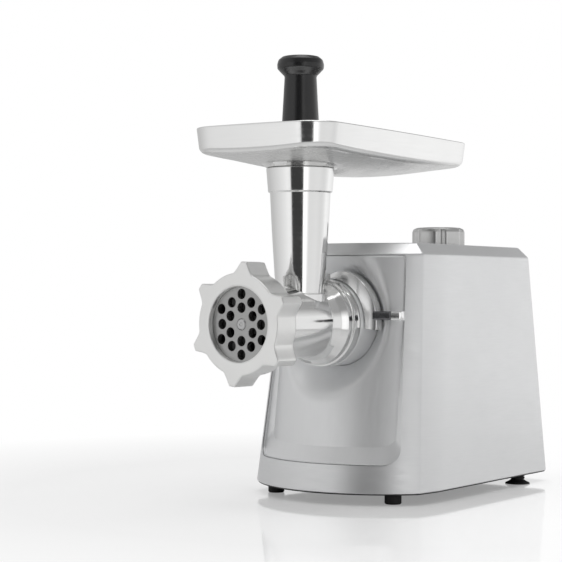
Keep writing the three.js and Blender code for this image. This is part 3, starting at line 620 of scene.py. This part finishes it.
def make_barrel():
    """The barrel with its flanges, opened into the feed tube, with painted shade darkening its bore and mouth.
    """
    profile = fillet([(31.4, -161), (31.4, -163), (34.5, -163), (34.5, -150.4), (27.5, -147), (27.5, -87),
                      (30, -80.6), (34, -75.8), (34, -71.0), (33.3, -70.6), (33.3, -70.2), (35.1, -69.6),
                      (35.1, -62.6), (26.8, -62.2), (26.8, -36.5), (20, -36.5), (20, -50), (24.4, -50),
                      (24.4, -150.6), (28.8, -152.6), (28.8, -161)],
                     [0.2, 0.6, 0.6, 0.8, 1.5, 9, 5, 1.0, 0.5, 0, 0, 0.6, 0.9, 0.3, 0.6, 0.6, 0, 0, 0, 0, 0],
                     6)
    head = turned("head_barrel", dense(profile, 4.0), "Y", AXIS, POLISHED, "head", 160, closed=True,
                  replaces=["head_casting"], **HEAD_LOOK)
    boolean(head, [shaft_cutter(TUBE, 15.6, 64, AXIS_Z + 5, 180)], HEAD_LOOK["sharp"])
    # Painted shade: faces in the bore and mouth take the dark material, for the shade inside the barrel.
    head.data.materials.append(CAST_DARK_AND_BORE_SHADE)
    for polygon in head.data.polygons:
        x, y, z = (c / MM for c in polygon.center)
        r = math.hypot(x, z - AXIS_Z)
        in_bore = -160 < y < -50 and r < 26.5
        in_mouth = -160 < y < -149 and r < 29.5
        polygon.material_index = 1 if in_bore or in_mouth else 0


def make_feed_tube():
    """The tube with its collar and its seat, both cut to the barrel's bore, and the key above the flange."""
    profile = fillet([(15.6, 160), (18.35, 160), (18.5, 165), (20.1, 179), (22.4, 215), (23.9, 244.2),
                      (25.4, 245.2), (26.9, 263.3), (26.0, 264.0), (22.2, 264.0), (22.0, 246), (16.4, 180)],
                     [0, 0, 3, 20, 40, 0.6, 0.5, 0.8, 0.3, 0.5, 1, 4], 5)
    tube = turned("feed_tube", dense(profile, 6.0), "Z", TUBE, POLISHED, "head", 128, closed=True,
                  **HEAD_LOOK)
    pad = fillet([(16, 155), (21.6, 155), (21.6, 165.2), (16, 165.6)], [0, 0, 0.8, 0], 4)
    seat = turned("tube_seat", pad, "Z", TUBE, POLISHED, "head", 96, closed=True, slot=HEAD_LOOK["slot"])
    bore = [(u, AXIS_Z + v) for u, v in circle(24.7, 96)]
    for piece in (tube, seat):
        boolean(piece, [prism_cutter(bore, -150, -50)], HEAD_LOOK["sharp"])
    section = fillet([(-6, -71.4), (6, -71.4), (6, -62.8), (-6, -62.8)], 0.8, 4)
    levels = ((168, 0), (180.4, 0), (181.1, 0.25), (181.4, 0.9))
    rows = [[(x, y, z) for x, y in offset(section, d)] for z, d in levels]
    finish_mesh("head_key", *grid(rows, capped=True), POLISHED, "head", slot=HEAD_LOOK["slot"])


# ---------------------------------------------------------------- ring nut and cutting plate
NUT_R, LUG_HEIGHT, LUGS = 39, 8.5, 6
LUG_TIP, LUG_FLANK = 3.3, 11.8      # half the tip's width and the flank's, in degrees


def nut_outline(d=0.0):
    """Six lugs on a round nut; the same number of points whatever d is."""
    pitch = 360 // LUGS
    offsets = [-30, -26, -22, -19] + list(range(-17, 18)) + [19, 22, 26]
    points = []
    for i in range(LUGS):
        for a in offsets:
            t = min(1.0, max(0.0, (abs(a) - LUG_TIP) / LUG_FLANK))
            r = NUT_R + LUG_HEIGHT * (1 - t) ** 1.6
            angle = math.radians(23 + pitch * i + a)
            points.append((r * math.cos(angle), r * math.sin(angle)))
    return offset(points, d) if d else points


def make_nut():
    """The ring nut: round inside, lugged outside, with its long edges eased."""
    front, back = MOUTH_Y, MOUTH_Y + 22.5
    lip = MOUTH_Y + 4.3
    bearings = [math.atan2(v, u) for u, v in nut_outline()]

    def ring(r, y):
        return [(r * math.cos(a), y, AXIS_Z + r * math.sin(a)) for a in bearings]

    def out(d, y):
        return [(u, y, AXIS_Z + v) for u, v in nut_outline(d)]

    mouth = [(35, lip), (28.5, lip), (28.5, front + 1.3), (28.8, front + 0.5), (29.6, front + 0.05),
             (30.4, front), (33.0, front)]
    outside = [(1.3, front), (1.0, front), (0.6, front + 0.1), (0.25, front + 0.35), (0.05, front + 0.75),
               (0, front + 1.3), (0, front + 2.0), (0, front + 7), (0, front + 12), (0, back - 1.6),
               (0.1, back - 0.7), (0.5, back - 0.1), (0.8, back)]
    inside = [(36.4, back), (35, back - 1.0)]
    rows = [ring(*p) for p in mouth] + [out(*p) for p in outside] + [ring(*p) for p in inside]
    finish_mesh("ring_nut_cast", *grid(rows, close_rows=True), CAST, "ring", ["ring_nut"], "cast_aluminium",
                sharp=36)


def curve_plate(name, loops, y0, y1, edge, material, body, **rest):
    """A flat plate in x and z with holes and eased edges, from y0 to y1."""
    curve = bpy.data.curves.new(name, "CURVE")
    curve.dimensions, curve.fill_mode = "2D", "BOTH"
    curve.extrude = ((y1 - y0) / 2 - edge) * MM
    curve.bevel_depth, curve.bevel_resolution, curve.offset = edge * MM, 2, -edge * MM
    for loop in loops:
        spline = curve.splines.new("POLY")
        spline.points.add(len(loop) - 1)
        for point, (u, v) in zip(spline.points, loop):
            point.co = (u * MM, v * MM, 0, 1)
        spline.use_cyclic_u = True
    source = bpy.data.objects.new(name + "_source", curve)
    bpy.context.scene.collection.objects.link(source)
    mesh = bpy.data.meshes.new_from_object(source.evaluated_get(bpy.context.evaluated_depsgraph_get()))
    bpy.data.objects.remove(source)
    stand_up = Matrix.Rotation(math.pi / 2, 4, "X")
    mesh.transform(Matrix.Translation((0, (y0 + y1) / 2 * MM, AXIS_Z * MM)) @ stand_up)
    verts = [tuple(c / MM for c in v.co) for v in mesh.vertices]
    faces = [tuple(p.vertices) for p in mesh.polygons]
    finish_mesh(name, verts, faces, material, body, **rest)


def make_plate():
    """The cutting plate: three rings of six holes about a centre hole."""
    plate_y, thick, hole_r = MOUTH_Y + 4.6, 5, 3.9
    loops = [circle(31, 128), circle(4.4, 40)]
    for r, start in ((12.6, 30), (19.1, 0), (23.0, 30)):
        for i in range(6):
            a = math.radians(start + 60 * i)
            loops.append([(r * math.cos(a) + u, r * math.sin(a) + v) for u, v in circle(hole_r, 36)])
    curve_plate("plate_disc", loops, plate_y, plate_y + thick, 0.25, PLATE, "plate",
                replaces=["cutting_plate"], slot="steel")


def make_auger_pin():
    """The dimpled end of the auger's front pin, in the plate's centre hole."""
    profile = fillet([(0, -166.4), (1.1, -166.5), (1.6, -167.0), (3.6, -167.0), (4.2, -166.4), (4.2, -163),
                      (0, -163)], [0, 0.3, 0.3, 0.3, 0.2, 0, 0], 3, closed=False)
    turned("auger_pin", profile, "Y", AXIS, STEEL, "auger", 40)


# ---------------------------------------------------------------- tray and pusher
def tray_plan():
    """Rounded rectangle with slightly bulging sides, in the tray's own directions."""
    spare = 0.8      # allows for what the corner radius takes off
    x, y0, y1 = TRAY_HALF + spare, TRAY_FRONT - spare, TRAY_BACK + spare
    outline = dense(fillet([(-x, y0), (x, y0), (x, y1), (-x, y1)], 23.0, 14), 6.0)
    out = []
    for u, v in outline:
        across, along = u / TRAY_HALF, (v - TRAY_MID) / TRAY_LONG
        out.append((u + TRAY_BOW * across * (1 - along ** 2), v + TRAY_BOW * along * (1 - across ** 2)))
    return out


def to_world(u, v, z):
    """A point of the tray in the object's directions."""
    c, s = math.cos(TRAY_TURN), math.sin(TRAY_TURN)
    return (u * c - v * s, TUBE_Y + u * s + v * c, z)


def dome(u, v):
    """Height of the tray's underside."""
    across, along = (u / TRAY_HALF) ** 2, ((v - TRAY_MID) / TRAY_LONG) ** 2
    return 261.4 + 10.8 * (across + along - 0.68 * across * along)


def make_tray():
    """The tray, from the spout's foot out under the floor, up the wall, over the rim and back inside."""
    outline, reaches = tray_plan(), (0.06, 0.14, 0.24, 0.34, 0.44, 0.54, 0.64, 0.73, 0.81)
    wall_steps = (0.2, 0.4, 0.6, 0.8)

    def ring(radius, z_of, t=0.0):
        """A round ring, or with t its blend towards the outline."""
        points = []
        for u, v in outline:
            reach = math.hypot(u, v)
            iu, iv = u / reach * radius, v / reach * radius
            pu, pv = mix(iu, u, t), mix(iv, v, t)
            points.append(to_world(pu, pv, z_of(pu, pv)))
        return points

    def wall(d, z_of):
        return [to_world(u, v, z_of(u, v)) for u, v in offset(outline, d)]

    def bend(radius, d, k, steps, base, dip):
        a = math.pi / 2 * k / steps
        lift = radius * (1 - math.cos(a))
        return wall(d + radius * (1 - math.sin(a)), lambda u, v: dome(u, v) + base + lift * 0.9 - dip)

    def side(d, t, above):
        return wall(d + TRAY_DRAFT * (1 - t), lambda u, v: mix(dome(u, v) + above, TRAY_RIM - 1.0, t))

    rows = []
    for d, z in ((-2, 247.0), (-0.4, 247.0), (0, 247.6), (0, 264.2), (0.4, 264.35), (4.3, 264.35),
                 (4.8, 264.1), (5.5, 264.2)):
        rows.append(ring(SPOUT_R + d, lambda u, v: z))
    rows.append(ring(SPOUT_R + 9.0, lambda u, v: max(264.9, dome(u, v) + 0.6)))
    rows += [ring(SPOUT_R + 9.0, dome, t) for t in reaches]
    rows += [bend(TRAY_BEND, TRAY_DRAFT, k, 10, 0.0, 0.3) for k in range(1, 11)]
    rows += [side(0.0, t, TRAY_BEND * 0.9) for t in wall_steps]
    for d, drop in ((0, 0.8), (0.25, 0.2), (0.8, 0.0), (1.35, 0.2), (TRAY_THICK, 0.8)):
        rows.append(wall(d, lambda u, v: TRAY_RIM - drop))
    rows += [side(TRAY_THICK, t, TRAY_BEND + 1.4) for t in reversed(wall_steps)]
    rows += [bend(TRAY_BEND + 1.2, TRAY_THICK + TRAY_DRAFT, k, 8, TRAY_THICK, 0.0) for k in range(8, 0, -1)]
    rows += [ring(SPOUT_R + 5.2, lambda u, v: dome(u, v) + TRAY_THICK, t) for t in reversed(reaches)]
    for d, drop in ((0.6, 0.2), (-0.8, 1.0), (-1.7, 2.6)):
        rows.append(ring(SPOUT_R + d, lambda u, v: dome(u, v) + TRAY_THICK - drop))
    rows.append(ring(SPOUT_R - 2, lambda u, v: 261.0))
    tray = finish_mesh("tray_bowl", *grid(rows, close_rows=True), TRAY, "tray", ["tray"],
                       "polished_aluminium", sharp=48)
    # Painted shade: faces that point down take the darker underside copy.
    tray.data.materials.append(TRAY_UNDER_SHADE)
    for polygon in tray.data.polygons:
        if polygon.normal.z < -0.8:
            polygon.material_index = 1


def make_plunger():
    profile = fillet([(0, 167), (12.8, 167), (14.6, 169.5), (14.6, 300), (13.6, 318), (12.6, 336.5),
                      (15.4, 339.2), (18.3, 342.4), (18.5, 345.6), (17.6, 349.2), (14.6, 351.6), (13.2, 351.9),
                      (12.4, 351.2), (0, 351.2)],
                     [0, 1.2, 2, 30, 30, 3, 4, 2.2, 3, 3, 1.4, 0.6, 0.6, 0], 6, closed=False)
    turned("plunger", profile, "Z", TUBE, BLACK, "pusher", 96, replaces=["pusher"], slot="black_gloss",
           sharp=45)


# ---------------------------------------------------------------- knob
def make_knob():
    """A round knob with six flutes that die out towards its top edge."""
    count, pitch = 240, 60
    flute_half, flute_depth = 13.0, 2.6       # degrees and millimetres
    fade_z, fade_span = 219.5, 6
    levels = fillet([(0, 206.5), (0.8, 206.5), (0, 207.3), (0, 219.2), (1.0, 221.6), (4.0, 223.0),
                     (6.5, KNOB_TOP)], [0, 0.3, 0.3, 1.0, 1.2, 2.0, 1.0], 3, closed=False)[1:]
    outline = []
    for i in range(count):
        a = TAU * i / count
        near = (math.degrees(a) + 51) % pitch
        near = min(near, pitch - near)
        near = min(near, flute_half)
        depth = flute_depth * (0.5 + 0.5 * math.cos(math.pi * near / flute_half))
        outline.append((depth, a))

    def row(radius_of, z):
        return [(radius_of(depth) * math.cos(a), KNOB_Y + radius_of(depth) * math.sin(a), z)
                for depth, a in outline]

    rows = []
    for d, z in levels:
        fade = max(0.0, 1 - max(0.0, z - fade_z) / fade_span)
        rows.append(row(lambda depth: KNOB_R - depth * fade - d, z))
    for r in (12.0, 8.0, 3.0):
        rows.append(row(lambda depth: r, KNOB_TOP - 0.12 * (16 - r) / 8))
    finish_mesh("knob_cap", *grid(rows, capped=True), KNOB, "knob", ["control_knob"], "brushed_knob",
                sharp=40)


make_housing()
make_front_panel()
make_base()
make_feet()
make_outlet()
make_lever()
make_barrel()
make_feed_tube()
make_nut()
make_plate()
make_auger_pin()
make_tray()
make_plunger()
make_knob()

# ---------------------------------------------------------------- materials of the CAD nodes that stay
LOOKS = {
    "rear_panel": DARK, "cord_gland": RUBBER, "gearbox_case": CAST_DARK_AND_BORE_SHADE, "gearbox_cover": CAST_DARK_AND_BORE_SHADE,
    "output_bearing": BRONZE, "stator_core": LAMINATED, "rotor_core": LAMINATED, "commutator": COPPER,
    "field_winding_top": COPPER, "field_winding_bottom": COPPER, "brush_holder_left": BRONZE,
    "brush_holder_right": BRONZE, "selector_switch": DARK, "circuit_board": BOARD, "cooling_fan": DARK,
    # the auger and knife take painted shade
    "output_gear": NYLON, "drive_shank": NYLON, "auger_bush": BRONZE, "auger": STEEL_PAINTED_SHADE,
    "knife": STEEL_PAINTED_SHADE,
}
for name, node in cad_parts.items():
    if not node.hide_render:
        node.data.materials.clear()
        node.data.materials.append(LOOKS.get(name, STEEL))


# ---------------------------------------------------------------- studio
# Brightness round the horizon and overhead: (degrees from the camera's side, brightness).
VIEW_SIDE = 51.2      # bearing of the camera's side, degrees clockwise from +X, seen from above
HORIZON = [(-180, 0.55), (-135, 0.55), (-105, 0.66), (-80, 0.76), (-60, 0.86), (-46, 0.95), (-36, 0.88),
           (-32, 0.045), (9, 0.045), (12, 1.4), (22, 1.25), (33, 0.78), (45, 0.78), (66, 0.80), (88, 0.74),
           (100, 0.80), (118, 1.0), (180, 0.75)]
CEILING = [(-180, 0.30), (-130, 0.62), (-60, 0.62), (-25, 0.16), (20, 0.30), (80, 0.38), (120, 0.36),
           (180, 0.3)]
GROUND_TONE, LAMP_TONE = (0.5, 0.5, 0.5), (1.1, 1.1, 1.1)


def make_world():
    """White to the camera; to the object, a bright studio with a dark gap and a dim ceiling."""
    world = bpy.data.worlds.new("studio")
    bpy.context.scene.world = world
    world.use_nodes = True
    n = Nodes(world.node_tree)
    direction = n.add("TexCoord").outputs["Generated"]
    x, y, z = n.add("SeparateXYZ", {"Vector": direction}).outputs
    bearing = n.math("ADD", n.math("ARCTAN2", y, x), math.radians(VIEW_SIDE))
    around = n.math("ADD", n.math("DIVIDE", n.math("WRAP", bearing, math.pi, -math.pi), TAU), 0.5)
    horizon, ceiling = (n.ramp(around, [(degrees / 360 + 0.5, tone) for degrees, tone in stops])
                        for stops in (HORIZON, CEILING))
    side = n.blend(n.range(z, 0.22, 0.46, 0.0, 1.0), horizon, ceiling)
    grounded = n.blend(n.range(z, -0.50, -0.36, 0.0, 1.0), GROUND_TONE, side)
    lit = n.blend(n.range(z, 0.86, 0.95, 0.0, 1.0), grounded, LAMP_TONE)
    seen = n.add("LightPath").outputs["Is Camera Ray"]
    light = n.add("Background", {"Color": lit, "Strength": 1.0})
    white = n.add("Background", {"Color": (1, 1, 1, 1), "Strength": 1.0})
    mixed = n.add("MixShader", {0: seen, 1: light.outputs[0], 2: white.outputs[0]})
    n.add("OutputWorld", {"Surface": mixed.outputs[0]})


def make_floor():
    """Pale glossy table that fades to white away from the object, in metres."""
    radius, count = 0.62, 96
    fade_from, fade_to = 0.30, 0.58
    verts = [(0.0, 0.0, 0.0)] + [(x, y, 0) for x, y in circle(radius, count)]
    faces = [(0, 1 + i, 1 + (i + 1) % count) for i in range(count)]
    mesh = bpy.data.meshes.new("floor")
    mesh.from_pydata(verts, [], faces)
    floor = bpy.data.objects.new("floor", mesh)
    bpy.context.scene.collection.objects.link(floor)
    material = bpy.data.materials.new("floor_white")
    material.use_nodes = True
    n = Nodes(material.node_tree)
    at = n.place()
    distance = n.add("VectorMath", {0: at}, operation="LENGTH").outputs["Value"]
    tone = n.ramp(n.noise(at, 6.0), [(0.3, 0.93), (0.7, 0.96)])
    seen = n.add("LightPath").outputs["Is Camera Ray"]
    body = n.add("BsdfPrincipled", {"Base Color": tone, "Roughness": 0.06, "Specular IOR Level": 0.5,
                                    "Emission Color": (1, 1, 1, 1),
                                    "Emission Strength": n.math("MULTIPLY", seen, 0.27)})
    glow = n.add("Emission", {"Color": (1, 1, 1, 1), "Strength": n.range(seen, 0.0, 1.0, 0.5, 1.0)})
    fade = n.range(distance, fade_from, fade_to, 0.0, 1.0)
    mixed = n.add("MixShader", {0: fade, 1: body.outputs[0], 2: glow.outputs[0]})
    n.add("OutputMaterial", {"Surface": mixed.outputs[0]})
    mesh.materials.append(material)


def make_lamp():
    """A broad soft lamp overhead, aimed at the housing."""
    place, target, size = Vector((0.1, 0.0, 1.7)), Vector((0, 0, 0.1)), 1.2
    data = bpy.data.lights.new("overhead", "AREA")
    data.shape, data.size, data.size_y, data.energy = "RECTANGLE", size, size, 5.0
    lamp = bpy.data.objects.new("overhead", data)
    bpy.context.scene.collection.objects.link(lamp)
    lamp.location = place
    lamp.rotation_euler = (target - place).to_track_quat("-Z", "Y").to_euler()


make_world()
make_floor()
make_lamp()
